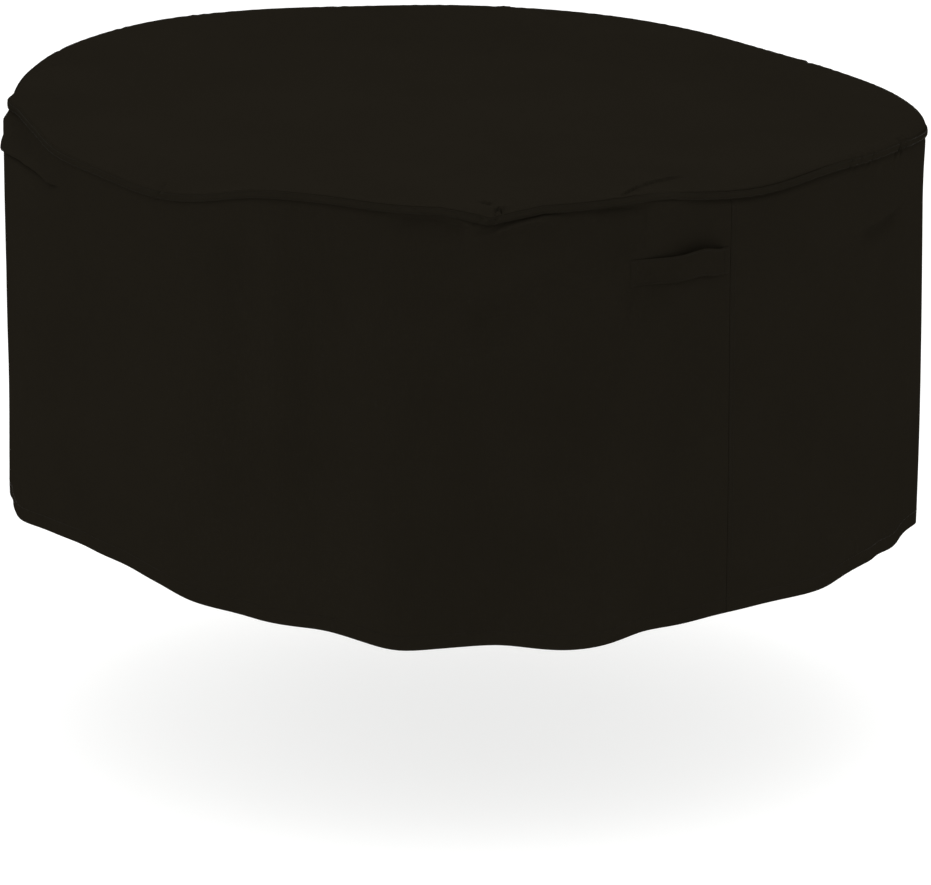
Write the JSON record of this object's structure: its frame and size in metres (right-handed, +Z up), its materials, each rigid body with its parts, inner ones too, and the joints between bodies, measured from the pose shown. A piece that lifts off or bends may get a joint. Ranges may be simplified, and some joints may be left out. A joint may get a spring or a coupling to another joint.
{
  "type": "round patio furniture cover",
  "caption": "Round drum cover of coated cloth: flat top, tall skirt with upright laps, bound edge seam, turned hem and a sewn handle strip, in its hung shape.",
  "frame": {"origin": "middle of the top panel's underside, where the table that is left out would carry it", "axes": "+Z up; -Y is the side with the handle; +X is to the right when the handle is looked at from outside"},
  "size_m": [1.5452, 1.5814, 0.7467],
  "materials": {
    "cover_cloth": "matt near-black coated polyester, faint plain weave",
    "binding_cloth": "matt near-black folded tape with edge stitching",
    "handle_cloth": "matt near-black doubled cloth, stitched round"
  },
  "bodies": {
    "root": {"top_panel": "cover_cloth", "skirt_left": "cover_cloth", "skirt_right": "cover_cloth", "edge_binding": "binding_cloth", "handle": "handle_cloth"}
  },
  "joints": []
}
